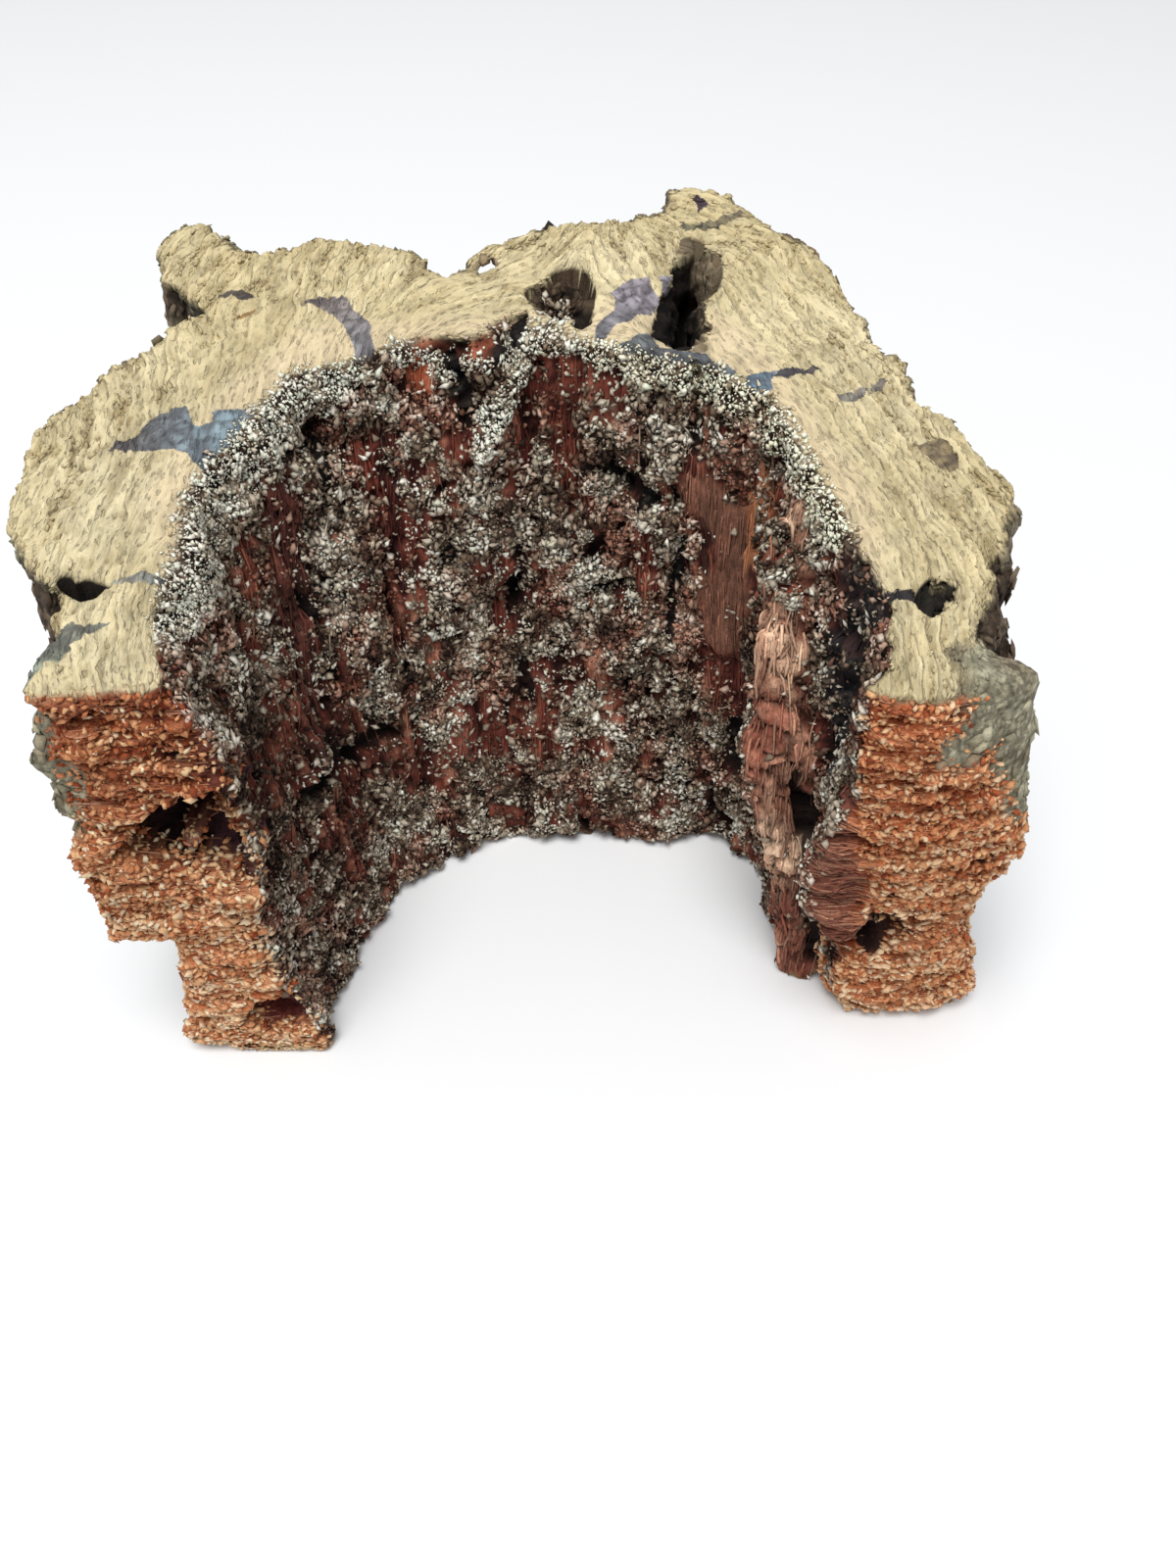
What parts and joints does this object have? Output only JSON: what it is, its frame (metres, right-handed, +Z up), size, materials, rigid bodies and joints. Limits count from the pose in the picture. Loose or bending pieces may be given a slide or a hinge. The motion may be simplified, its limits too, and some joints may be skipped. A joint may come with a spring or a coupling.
{
  "type": "cork bark hide",
  "caption": "Half tube of raw cork bark, standing on its sawn end, with a hollow open at the front and both ends.",
  "frame": {"origin": "middle of the bounding box, on the plane that the lower sawn end stands on", "axes": "+Z up along the bark's height, the hollow opens towards -Y, +X towards the right foot seen from the open side"},
  "size_m": [0.1606, 0.116, 0.11],
  "materials": {
    "cork_bark": "raw cork: pale sawn end, torn orange end faces, grey bark outside, dark granular inner bark"
  },
  "bodies": {
    "root": {"cork_bark": "cork_bark"}
  },
  "joints": []
}
